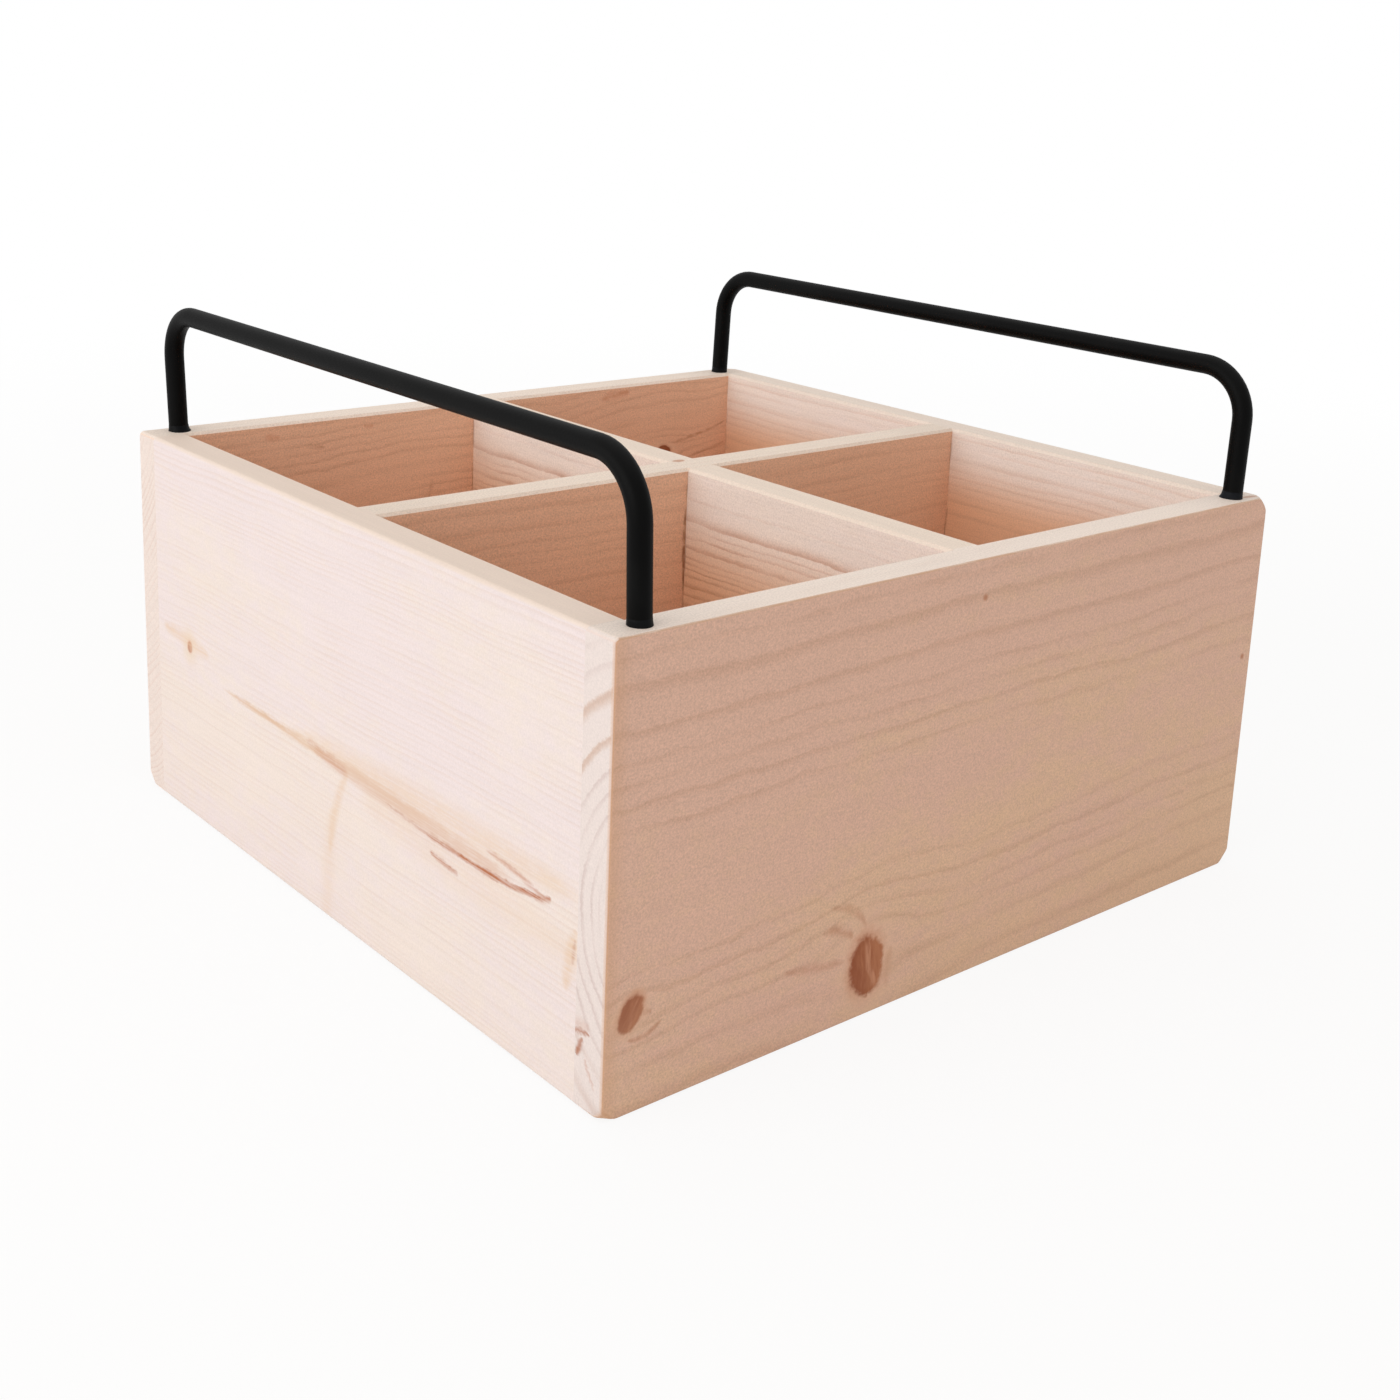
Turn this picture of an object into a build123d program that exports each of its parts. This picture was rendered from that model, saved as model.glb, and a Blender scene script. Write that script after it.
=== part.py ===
from build123d import *
import os
from math import cos, radians, sin

# Open pine utensil box with a cross of dividers and two bent rod handles.
# Millimetres. X runs left to right, Y front to back and Z up.
# The origin is on the table, under the middle of the box.

# Box
box_width = 250.0
box_depth = 250.0
wall_height = 120.0
board_thickness = 11.0
divider_thickness = 11.0
face_round = 0.8
side_round = 1.6
mouth_break = 0.9
corner_ease = 4.0
corner_round = 2.4

# Bottom panel and the groove that holds it
panel_thickness = 4.0
panel_lift = 6.0
groove_depth = 4.0
panel_edge_gap = 0.4
groove_slack = 0.2

# Halved crossing of the dividers
lap_slack = 0.1

# Dowels of the corners and of the divider ends
dowel_diameter = 6.0
dowel_face_depth = 7.0
dowel_end_depth = 18.0
dowel_end_gap = 0.5
dowel_slack = 0.05
dowel_bevel = 0.6
corner_dowel_count = 3
corner_dowel_margin = 12.0
divider_dowel_count = 2
divider_dowel_margin = 30.0

# Handles
rod_diameter = 6.0
bar_rise = 38.5
bend_radius = 15.0
handle_lean = 2.0
foot_inset = 11.0
leg_depth = 25.0
leg_end_gap = 0.3
leg_slack = 0.05
leg_bevel = 0.5

# Places worked out from the sizes above
inside_x = box_width / 2 - board_thickness
inside_y = box_depth / 2 - board_thickness
side_mid_x = box_width / 2 - board_thickness / 2
end_mid_y = box_depth / 2 - board_thickness / 2
panel_top = panel_lift + panel_thickness
groove_height = panel_thickness + groove_slack
lap_level = (panel_top + wall_height) / 2
lap_width = divider_thickness + lap_slack
mouth_x = inside_x - divider_thickness / 2
mouth_y = inside_y - divider_thickness / 2
foot_x = box_width / 2 - foot_inset
rod_radius = rod_diameter / 2
dowel_radius = dowel_diameter / 2
dowel_hole_radius = dowel_radius + dowel_slack
dowel_length = dowel_face_depth + dowel_end_depth - 2 * dowel_end_gap

LEFT = -1
RIGHT = 1
FRONT = -1
BACK = 1
BOTTOM = -1
TOP = 1
SIDES = {"left": LEFT, "right": RIGHT}
ENDS = {"front": FRONT, "back": BACK}

# Outer corners that are eased by hand: all but the two at the top left
EASED_CORNERS = [(LEFT, BOTTOM), (RIGHT, BOTTOM), (RIGHT, TOP)]


def spread(lowest, highest, count):
    """Evenly spaced heights from lowest to highest."""
    step = (highest - lowest) / (count - 1)
    return [lowest + number * step for number in range(count)]


def seats(x, y, inward, heights, setback=0.0):
    """A plane for each dowel, facing into the box and moved outward by setback."""
    planes = []
    for z in heights:
        start = Vector(x, y, z) - Vector(*inward) * setback
        planes.append(Plane(origin=start, z_dir=inward))
    return planes


def corner_cut(side, end, level):
    """A plane that takes corner_ease off each of the three edges that meet in an outer corner."""
    corner = Vector(side * box_width / 2, end * box_depth / 2, wall_height if level == TOP else 0)
    outward = Vector(side, end, level)
    return Plane(origin=corner - outward * (corner_ease / 3), z_dir=outward)


def leg_axis(side):
    """Direction of a handle's legs, leaning out of the box by handle_lean."""
    lean = radians(handle_lean)
    return Vector(side * sin(lean), 0, cos(lean))


corner_heights = spread(
    panel_top + corner_dowel_margin,
    wall_height - leg_depth - corner_dowel_margin,
    corner_dowel_count,
)
divider_heights = spread(
    panel_top + divider_dowel_margin,
    wall_height - divider_dowel_margin,
    divider_dowel_count,
)

os.makedirs("parts", exist_ok=True)

# Cutter for the broken edges round the mouths of the four compartments
with BuildPart() as mouth_edges:
    with BuildSketch(Plane.XY.offset(wall_height - mouth_break)):
        with GridLocations(mouth_x + divider_thickness, mouth_y + divider_thickness, 2, 2):
            Rectangle(mouth_x, mouth_y)
    extrude(amount=mouth_break, taper=-45)

# Groove that the bottom panel sits in, as deep as the groove in all four walls
with BuildPart() as panel_groove:
    with BuildSketch(Plane.XY.offset(panel_lift)):
        Rectangle(2 * (inside_x + groove_depth), 2 * (inside_y + groove_depth))
    extrude(amount=groove_height)

# Front and back boards run the full width and hold the legs of the handles
for end_name, end in ENDS.items():
    inward = (0, -end, 0)
    with BuildPart() as end_board:
        with BuildSketch():
            with Locations((0, end * end_mid_y)):
                Rectangle(box_width, board_thickness)
        extrude(amount=wall_height)
        for side, level in EASED_CORNERS:
            split(bisect_by=corner_cut(side, end, level), keep=Keep.BOTTOM)
        eased_faces = end_board.faces().sort_by(SortBy.AREA)[: len(EASED_CORNERS)]
        fillet(eased_faces.edges(), radius=corner_round)
        end_faces = end_board.faces().filter_by(Axis.X)
        fillet(end_faces.edges().filter_by(Axis.Y), radius=side_round)
        outer_face = end_board.faces().filter_by(Axis.Y).sort_by(Axis.Y)[0 if end == FRONT else -1]
        fillet(outer_face.edges(), radius=face_round)
        add(mouth_edges.part, mode=Mode.SUBTRACT)
        add(panel_groove.part, mode=Mode.SUBTRACT)
        for side in SIDES.values():
            with Locations(*seats(side * side_mid_x, end * inside_y, inward, corner_heights)):
                Hole(dowel_hole_radius, depth=dowel_face_depth)
            socket = Plane(origin=(side * foot_x, end * end_mid_y, wall_height), z_dir=leg_axis(side))
            with Locations(socket):
                Hole(rod_radius + leg_slack, depth=leg_depth)
        with Locations(*seats(0, end * inside_y, inward, divider_heights)):
            Hole(dowel_hole_radius, depth=dowel_face_depth)
    end_board.part.label = f"{end_name}_board"
    export_step(end_board.part, f"parts/{end_name}_board.step")

# Side boards are butted between the front and back boards
for side_name, side in SIDES.items():
    with BuildPart() as side_board:
        with BuildSketch():
            with Locations((side * side_mid_x, 0)):
                Rectangle(board_thickness, 2 * inside_y)
        extrude(amount=wall_height)
        outer_face = side_board.faces().sort_by(Axis.X)[0 if side == LEFT else -1]
        fillet(outer_face.edges().filter_by(Axis.Y), radius=side_round)
        add(mouth_edges.part, mode=Mode.SUBTRACT)
        add(panel_groove.part, mode=Mode.SUBTRACT)
        for end in ENDS.values():
            with Locations(*seats(side * side_mid_x, end * inside_y, (0, -end, 0), corner_heights)):
                Hole(dowel_hole_radius, depth=dowel_end_depth)
        with Locations(*seats(side * inside_x, 0, (-side, 0, 0), divider_heights)):
            Hole(dowel_hole_radius, depth=dowel_face_depth)
    side_board.part.label = f"{side_name}_side_board"
    export_step(side_board.part, f"parts/{side_name}_side_board.step")

# Bottom panel lies on the lower faces of the grooves
with BuildPart() as bottom_panel:
    panel_reach = groove_depth - panel_edge_gap
    with BuildSketch(Plane.XY.offset(panel_lift)):
        Rectangle(2 * (inside_x + panel_reach), 2 * (inside_y + panel_reach))
    extrude(amount=panel_thickness)
bottom_panel.part.label = "bottom_panel"
export_step(bottom_panel.part, "parts/bottom_panel.step")

# Long divider runs front to back and is notched from above
with BuildPart() as long_divider:
    with BuildSketch(Plane.XY.offset(panel_top)):
        Rectangle(divider_thickness, 2 * inside_y)
    extrude(amount=wall_height - panel_top)
    with BuildSketch(Plane.XY.offset(lap_level)):
        Rectangle(divider_thickness, lap_width)
    extrude(amount=wall_height - lap_level, mode=Mode.SUBTRACT)
    add(mouth_edges.part, mode=Mode.SUBTRACT)
    for end in ENDS.values():
        with Locations(*seats(0, end * inside_y, (0, -end, 0), divider_heights)):
            Hole(dowel_hole_radius, depth=dowel_end_depth)
long_divider.part.label = "long_divider"
export_step(long_divider.part, "parts/long_divider.step")

# Cross divider runs left to right and is notched from below
with BuildPart() as cross_divider:
    with BuildSketch(Plane.XY.offset(panel_top)):
        Rectangle(2 * inside_x, divider_thickness)
    extrude(amount=wall_height - panel_top)
    with BuildSketch(Plane.XY.offset(panel_top)):
        Rectangle(lap_width, divider_thickness)
    extrude(amount=lap_level - panel_top, mode=Mode.SUBTRACT)
    add(mouth_edges.part, mode=Mode.SUBTRACT)
    for side in SIDES.values():
        with Locations(*seats(side * inside_x, 0, (-side, 0, 0), divider_heights)):
            Hole(dowel_hole_radius, depth=dowel_end_depth)
cross_divider.part.label = "cross_divider"
export_step(cross_divider.part, "parts/cross_divider.step")

# Dowel groups: where each joint face is, which way the box lies from it and the dowel heights
dowel_groups = {}
for end_name, end in ENDS.items():
    for side_name, side in SIDES.items():
        corner = (side * side_mid_x, end * inside_y, (0, -end, 0), corner_heights)
        dowel_groups[f"{end_name}_{side_name}_corner_dowels"] = corner
    dowel_groups[f"{end_name}_divider_dowels"] = (0, end * inside_y, (0, -end, 0), divider_heights)
for side_name, side in SIDES.items():
    dowel_groups[f"{side_name}_divider_dowels"] = (side * inside_x, 0, (-side, 0, 0), divider_heights)

for group_name, (joint_x, joint_y, inward, heights) in dowel_groups.items():
    with BuildPart() as dowels:
        with Locations(*seats(joint_x, joint_y, inward, heights, dowel_face_depth - dowel_end_gap)):
            Cylinder(dowel_radius, dowel_length, align=(Align.CENTER, Align.CENTER, Align.MIN))
        chamfer(dowels.edges().filter_by(GeomType.CIRCLE), length=dowel_bevel)
    dowels.part.label = group_name
    export_step(dowels.part, f"parts/{group_name}.step")

# Handles: a rod bent twice, its legs standing in the front and back boards
for side_name, side in SIDES.items():
    up = leg_axis(side)
    rim_point = Vector(side * foot_x, 0, wall_height)
    handle_plane = Plane(origin=rim_point, x_dir=(0, 1, 0), z_dir=Vector(0, 1, 0).cross(up))
    leg_end = leg_end_gap - leg_depth
    with BuildPart() as handle:
        with BuildLine(handle_plane) as rod_path:
            FilletPolyline(
                (-end_mid_y, leg_end),
                (-end_mid_y, bar_rise),
                (end_mid_y, bar_rise),
                (end_mid_y, leg_end),
                radius=bend_radius,
            )
        with BuildSketch(Plane(origin=rod_path.line @ 0, z_dir=rod_path.line % 0)):
            Circle(rod_radius)
        sweep(path=rod_path.line)
        leg_ends = handle.faces().filter_by(GeomType.PLANE)
        chamfer(leg_ends.edges(), length=leg_bevel)
    handle.part.label = f"{side_name}_handle"
    export_step(handle.part, f"parts/{side_name}_handle.step")
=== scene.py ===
# %% [markdown]
# # A pine utensil box with two black rod handles
# The real thing is a small open caddy: four pine walls, a cross of two pine dividers, a thin plywood
# bottom and two bent steel rods with a matt black coat. The CAD model already holds every board, dowel
# and rod at its true place and size, so this lesson is about finish: boards that look sawn from real
# trees, a coat that looks sprayed, and plain light that shows both.

# %% Load the CAD model
import math

import bmesh
import bpy
from mathutils import Matrix, Vector


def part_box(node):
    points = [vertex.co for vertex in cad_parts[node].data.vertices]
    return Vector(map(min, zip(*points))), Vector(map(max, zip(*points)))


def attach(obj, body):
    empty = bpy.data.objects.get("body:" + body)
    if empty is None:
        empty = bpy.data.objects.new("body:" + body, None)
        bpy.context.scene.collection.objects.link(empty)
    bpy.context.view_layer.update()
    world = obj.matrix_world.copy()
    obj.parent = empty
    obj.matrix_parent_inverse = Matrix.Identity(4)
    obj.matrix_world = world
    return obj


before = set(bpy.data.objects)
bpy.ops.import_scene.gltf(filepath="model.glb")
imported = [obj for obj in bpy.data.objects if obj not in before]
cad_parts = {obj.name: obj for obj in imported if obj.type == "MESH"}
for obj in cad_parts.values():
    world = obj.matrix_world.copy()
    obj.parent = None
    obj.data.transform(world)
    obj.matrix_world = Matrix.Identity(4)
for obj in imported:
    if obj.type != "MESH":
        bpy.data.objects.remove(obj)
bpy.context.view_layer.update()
MM = 0.001
HALF_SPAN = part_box("front_board")[1].x / MM
WALL_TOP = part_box("front_board")[1].z / MM
BOARD = (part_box("left_side_board")[1].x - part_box("left_side_board")[0].x) / MM
HALF_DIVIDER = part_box("long_divider")[1].x / MM
print("pieces", len(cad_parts), "half span", HALF_SPAN, "wall top", WALL_TOP)
print("board", round(BOARD, 2), "half divider", round(HALF_DIVIDER, 2))

# %% [markdown]
# ## Camera
# A product picture like this one is taken from a little above, with one corner of the box towards the
# lens. The camera could be placed by eye, but its place, turn and focal length were worked out from the
# corners of the box, so they are written here as numbers. A small lens shift lowers the frame, as on a
# view camera, so the camera tips down less and the upright edges of the box stay nearly upright.

# %% Camera
PICTURE_SIDE = 1400
FOCAL_PIXELS = 1853.6
SENSOR_WIDTH = 36.0
LENS_SHIFT = -0.15
NEAREST_SEEN = 0.01
CAMERA_PLACE = Vector((-0.3631, -0.4302, 0.2489))
CAMERA_TURN = math.radians(-40.50)
CAMERA_DIP = math.radians(13.72)
CAMERA_ROLL = math.radians(2.33)

lens = bpy.data.cameras.new("product_camera")
lens.sensor_width = SENSOR_WIDTH
lens.lens = SENSOR_WIDTH * FOCAL_PIXELS / PICTURE_SIDE
lens.shift_y = LENS_SHIFT
lens.clip_start = NEAREST_SEEN
camera = bpy.data.objects.new("product_camera", lens)
turned = Matrix.Rotation(CAMERA_TURN, 4, "Z")
dipped = Matrix.Rotation(math.pi / 2 - CAMERA_DIP, 4, "X")
rolled = Matrix.Rotation(CAMERA_ROLL, 4, "Z")
camera.matrix_world = Matrix.Translation(CAMERA_PLACE) @ turned @ dipped @ rolled
bpy.context.scene.collection.objects.link(camera)
bpy.context.scene.camera = camera
print("lens", round(lens.lens, 2), "mm, camera", [round(value, 3) for value in CAMERA_PLACE])

# %% [markdown]
# ## White room
# The box stands in a white room. What the eye sees behind the box and what lights the box are kept
# apart: rays that the eye follows, straight or by a mirror or glass, meet plain white, and rays that only
# bring light meet a softer, slightly warm fill. Light Path tells the two apart. A room that really is
# that bright would make the same backdrop, but it would wash out the box.

# %% White room
FILL_LEVEL = 0.58
FILL_TINT = (1.0, 0.955, 0.905, 1.0)
WHITE = (1.0, 1.0, 1.0, 1.0)
WHITE_LEVEL = 1.0


def seen_directly(tree):
    """1 for rays that the eye follows and 0 for rays that only bring light."""
    path = tree.nodes.new("ShaderNodeLightPath")
    total = path.outputs["Is Camera Ray"]
    for kind in ("Is Glossy Ray", "Is Transmission Ray"):
        highest = tree.nodes.new("ShaderNodeMath")
        highest.operation = "MAXIMUM"
        tree.links.new(total, highest.inputs[0])
        tree.links.new(path.outputs[kind], highest.inputs[1])
        total = highest.outputs[0]
    return total


def mix_seen(tree, lighting, seen, share, output):
    """Mix what lights the box with what the eye sees, by the share of the second."""
    mix = tree.nodes.new("ShaderNodeMixShader")
    tree.links.new(share, mix.inputs["Fac"])
    tree.links.new(lighting.outputs[0], mix.inputs[1])
    tree.links.new(seen.outputs[0], mix.inputs[2])
    tree.links.new(mix.outputs[0], tree.nodes[output].inputs["Surface"])


world = bpy.data.worlds.new("white_room")
world.use_nodes = True
bpy.context.scene.world = world
room = world.node_tree
fill = room.nodes["Background"]
fill.inputs["Color"].default_value = FILL_TINT
fill.inputs["Strength"].default_value = FILL_LEVEL
backdrop = room.nodes.new("ShaderNodeBackground")
backdrop.inputs["Color"].default_value = WHITE
backdrop.inputs["Strength"].default_value = WHITE_LEVEL
mix_seen(room, fill, backdrop, seen_directly(room), "World Output")
print("room fill", FILL_LEVEL, "behind a backdrop of", WHITE_LEVEL)

# %% [markdown]
# ## White table
# The table keeps seeing and lighting apart in the same way, but near the box it mixes in a share of its
# real shading, so the shadow under the box stays. Further off it fades to plain white, so no horizon
# shows. A curved sheet of paper would hide the horizon too. A flat square is simpler, and the fade does
# the rest.

# %% White table
TABLE_TINT = (0.86, 0.855, 0.85, 1.0)
TABLE_ROUGHNESS = 0.9
TABLE_GLOW_NEAR = 0.88
TABLE_FADE_START = 0.20
TABLE_FADE_END = 1.10
TABLE_HALF = 12.0

table_paint = bpy.data.materials.new("white_table")
table_paint.use_nodes = True
paint = table_paint.node_tree
matt = paint.nodes["Principled BSDF"]
matt.inputs["Base Color"].default_value = TABLE_TINT
matt.inputs["Roughness"].default_value = TABLE_ROUGHNESS
matt.inputs["Specular IOR Level"].default_value = 0.0
glow = paint.nodes.new("ShaderNodeEmission")
glow.inputs["Color"].default_value = WHITE
glow.inputs["Strength"].default_value = WHITE_LEVEL
table_place = paint.nodes.new("ShaderNodeTexCoord")
from_box = paint.nodes.new("ShaderNodeVectorMath")
from_box.operation = "LENGTH"
paint.links.new(table_place.outputs["Object"], from_box.inputs[0])
fade = paint.nodes.new("ShaderNodeMapRange")
fade.interpolation_type = "SMOOTHSTEP"
paint.links.new(from_box.outputs["Value"], fade.inputs["Value"])
fade.inputs["From Min"].default_value = TABLE_FADE_START
fade.inputs["From Max"].default_value = TABLE_FADE_END
fade.inputs["To Min"].default_value = TABLE_GLOW_NEAR
fade.inputs["To Max"].default_value = 1.0
glow_share = paint.nodes.new("ShaderNodeMath")
glow_share.operation = "MULTIPLY"
paint.links.new(seen_directly(paint), glow_share.inputs[0])
paint.links.new(fade.outputs["Result"], glow_share.inputs[1])
mix_seen(paint, matt, glow, glow_share.outputs[0], "Material Output")

table_mesh = bpy.data.meshes.new("white_table")
table_signs = ((-1, -1), (1, -1), (1, 1), (-1, 1))
table_corners = [(sign_x * TABLE_HALF, sign_y * TABLE_HALF, 0) for sign_x, sign_y in table_signs]
table_mesh.from_pydata(table_corners, [], [(0, 1, 2, 3)])
table_mesh.materials.append(table_paint)
table = bpy.data.objects.new("white_table", table_mesh)
bpy.context.scene.collection.objects.link(table)
print("table", 2 * TABLE_HALF, "m wide, white from", TABLE_FADE_END, "m on")

# %% [markdown]
# ## Window and ceiling
# In the picture the left wall is brightest and the front is in soft shade. Inside the box, the faces
# that look left are bright near the rim and dark a thumb's width below it, so the light comes in low over
# the left wall, as from a wide, low window. The rims look up and are nearly as bright as the left wall, so
# a white ceiling helps. Two area lamps stand for them. The power of each is worked out from the level that
# a small lamp would bring to a white card facing it.

# %% Window and ceiling
BOX_MIDDLE = Vector((0.0, 0.0, 0.10))


def area_lamp(name, place, wide, tall, level, tint):
    """A soft lamp that faces the box."""
    lamp = bpy.data.lights.new(name, "AREA")
    lamp.shape = "RECTANGLE"
    lamp.size = wide
    lamp.size_y = tall
    lamp.color = tint
    toward_box = BOX_MIDDLE - place
    lamp.energy = level * (math.pi * toward_box.length) ** 2
    holder = bpy.data.objects.new(name, lamp)
    holder.location = place
    holder.rotation_euler = toward_box.to_track_quat("-Z", "Y").to_euler()
    bpy.context.scene.collection.objects.link(holder)
    print(name, round(lamp.energy, 1), "W at", round(toward_box.length, 2), "m")


area_lamp(
    "window", Vector((-1.50, 0.06, 0.48)), wide=1.6, tall=0.56, level=0.455,
    tint=(1.0, 0.988, 0.98),
)
area_lamp(
    "ceiling", Vector((0.0, 0.0, 1.90)), wide=2.4, tall=2.4, level=0.43,
    tint=(1.0, 0.975, 0.95),
)
bpy.context.scene.view_settings.view_transform = "Standard"

# %% [markdown]
# ## Arithmetic for finishes
# Wood grain is arithmetic on a place: how far is this point from the middle of the tree, and which year's
# ring is that? Blender does such sums with chains of Math nodes, which are slow to read. Here a small
# class stands for "a number that changes over the surface", and adding or multiplying two of them makes
# the node.

# %% Amounts
class Amount:
    """A number that changes over a surface. Sums with it add Math nodes."""

    def __init__(self, finish, socket):
        self.finish = finish
        self.socket = socket

    def __add__(self, other):
        return self.finish.math("ADD", self, other)

    def __radd__(self, other):
        return self.finish.math("ADD", other, self)

    def __sub__(self, other):
        return self.finish.math("SUBTRACT", self, other)

    def __rsub__(self, other):
        return self.finish.math("SUBTRACT", other, self)

    def __mul__(self, other):
        return self.finish.math("MULTIPLY", self, other)

    def __rmul__(self, other):
        return self.finish.math("MULTIPLY", other, self)

    def __truediv__(self, other):
        return self.finish.math("DIVIDE", self, other)

    def __abs__(self):
        return self.finish.math("ABSOLUTE", self)


print("amounts can be added, subtracted, multiplied, divided and made positive")

# %% [markdown]
# ## A sheet of sums for one material
# A finish starts as a new material with an empty sheet for its sums. Places come in millimetres on the
# object, so a knot can be written down as measured with a ruler. They could come from an unwrapped map
# instead, but grain that runs through a solid has no seams to hide.

# %% Sheet of sums
class Sheet:
    """A new material. Its places x, y and z are millimetres on the object."""

    def __init__(self, name):
        self.material = bpy.data.materials.new(name)
        self.material.use_nodes = True
        self.nodes = self.material.node_tree.nodes
        self.links = self.material.node_tree.links
        self.shader = self.nodes["Principled BSDF"]
        where = self.nodes.new("ShaderNodeTexCoord")
        self.x, self.y, self.z = [part / MM for part in self.split(where.outputs["Object"])]
        self.facing = self.split(where.outputs["Normal"])

    def split(self, socket):
        node = self.nodes.new("ShaderNodeSeparateXYZ")
        self.links.new(socket, node.inputs[0])
        return [Amount(self, output) for output in node.outputs]

    def feed(self, socket, value):
        if isinstance(value, Amount):
            self.links.new(value.socket, socket)
        elif isinstance(value, bpy.types.NodeSocket):
            self.links.new(value, socket)
        else:
            socket.default_value = value

    def math(self, operation, *values):
        node = self.nodes.new("ShaderNodeMath")
        node.operation = operation
        for socket, value in zip(node.inputs, values):
            self.feed(socket, value)
        return Amount(self, node.outputs[0])


print("a sheet reads places in millimetres, one metre is", round(1 / MM))

# %% [markdown]
# ## Tools of a finish
# Every finish below is made with a few tools: a ramp that turns a number into a soft step, noise for what
# is uneven, a blend of two colours, a shade that darkens one, and an emboss that gives the surface a
# height. Blender has a node for each, and a finish keeps them as functions, so a recipe reads from top to
# bottom. The range of a ramp is written as its start and end, and its low and high if not 0 and 1.

# %% Finish tools
NOISE_MIDDLE = 0.5
NOISE_GAIN = 4.0
BLEND_SHARE, BLEND_FIRST, BLEND_SECOND, BLEND_RESULT = 0, 6, 7, 2


class Finish(Sheet):
    """A procedural material that is built up from ramps, noise and blends."""

    def reach(self, first, second):
        """Length of the slope over two legs."""
        return self.math("SQRT", first * first + second * second)

    def ramp(self, value, start, end, low=0.0, high=1.0):
        """Smooth change from low to high while the value goes from start to end."""
        node = self.nodes.new("ShaderNodeMapRange")
        node.interpolation_type = "SMOOTHSTEP"
        for socket, number in zip(node.inputs, (value, start, end, low, high)):
            self.feed(socket, number)
        return Amount(self, node.outputs[0])

    def noise(self, first, second, third, detail=2.0, roughness=0.5):
        """Cloudy noise from about -1 to 1 over three directions."""
        place = self.nodes.new("ShaderNodeCombineXYZ")
        for socket, value in zip(place.inputs, (first, second, third)):
            self.feed(socket, value)
        node = self.nodes.new("ShaderNodeTexNoise")
        node.inputs["Scale"].default_value = 1.0
        node.inputs["Detail"].default_value = detail
        node.inputs["Roughness"].default_value = roughness
        self.links.new(place.outputs[0], node.inputs["Vector"])
        return (Amount(self, node.outputs[0]) - NOISE_MIDDLE) * NOISE_GAIN

    def chance(self, value):
        """A fixed number from 0 to 1 for each whole value."""
        node = self.nodes.new("ShaderNodeTexWhiteNoise")
        node.noise_dimensions = "1D"
        self.feed(node.inputs["W"], value)
        return Amount(self, node.outputs["Value"])

    def blend(self, colour, other, share):
        node = self.nodes.new("ShaderNodeMix")
        node.data_type = "RGBA"
        self.feed(node.inputs[BLEND_SHARE], share)
        self.feed(node.inputs[BLEND_FIRST], colour)
        self.feed(node.inputs[BLEND_SECOND], other)
        return node.outputs[BLEND_RESULT]

    def shade(self, colour, level):
        node = self.nodes.new("ShaderNodeVectorMath")
        node.operation = "SCALE"
        self.feed(node.inputs[0], colour)
        self.feed(node.inputs["Scale"], level)
        return node.outputs[0]

    def surface(self, colour, roughness, specular):
        """Colour and roughness of the surface, and how much light it mirrors."""
        self.feed(self.shader.inputs["Base Color"], colour)
        self.feed(self.shader.inputs["Roughness"], roughness)
        self.shader.inputs["Specular IOR Level"].default_value = specular

    def emboss(self, height, depth, strength=1.0):
        """Bump of a height from 0 to 1 that is depth millimetres tall."""
        node = self.nodes.new("ShaderNodeBump")
        node.inputs["Strength"].default_value = strength
        node.inputs["Distance"].default_value = depth * MM
        self.feed(node.inputs["Height"], height)
        self.links.new(node.outputs[0], self.shader.inputs["Normal"])


def srgb(red, green, blue):
    """A colour in screen numbers from 0 to 255, as Blender's linear light."""
    shares = [value / 255 for value in (red, green, blue)]
    light = [share / 12.92 if share <= 0.04045 else ((share + 0.055) / 1.055) ** 2.4 for share in shares]
    return (*light, 1.0)


print("half grey on a screen is", [round(value, 3) for value in srgb(128, 128, 128)[:3]], "in light")

# %% [markdown]
# ## Noise that follows the grain
# Nothing in wood is even, so its lines and tints are stirred by noise. Fibres are long and thin, and so
# is their noise: it has few cells in a millimetre along the grain and many across it. A shift moves the
# pattern, so that no two boards share it. Stains and outlines need noise on one face only.

# %% Grain noise
ALONG, DOWN, INWARD = 0, 1, 2


def grain_noise(finish, place, cells, shift=0.0, shifted=ALONG, detail=2.0, roughness=0.5):
    """Noise with its own number of cells a millimetre along and across the grain, moved by a shift."""
    along, across = cells
    spots = [place[ALONG] * along, place[DOWN] * across, place[INWARD] * across]
    if shift:
        spots[shifted] = spots[shifted] + shift
    return finish.noise(*spots, detail, roughness)


def face_noise(finish, first, second, cells, layer=0.0, shift=0.0, detail=3.0, roughness=0.5):
    """Noise over two directions of a face. Each layer of it has its own pattern."""
    start = first * cells[0]
    if shift:
        start = start + shift
    return finish.noise(start, second * cells[1], layer, detail, roughness)


print("noise runs along", ALONG, "down", DOWN, "and inward", INWARD)

# %% [markdown]
# ## How a board lies
# Every board gets its own three directions, so that one recipe serves them all: u runs along the grain,
# from the left end as seen from outside; v runs down from the rim; t goes in from the outer face. The way
# that a surface looks tells the sawn ends and the rim from the faces. Painted masks could do that too,
# but they would have to be made again for each board.

# %% Board places
END_GRAIN = (0.80, 0.97)
# The low start of the rim range gives the sloping mouth chamfers the pale rim tone too, a painted
# highlight along those edges.
RIM = (0.35, 0.80)


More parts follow.
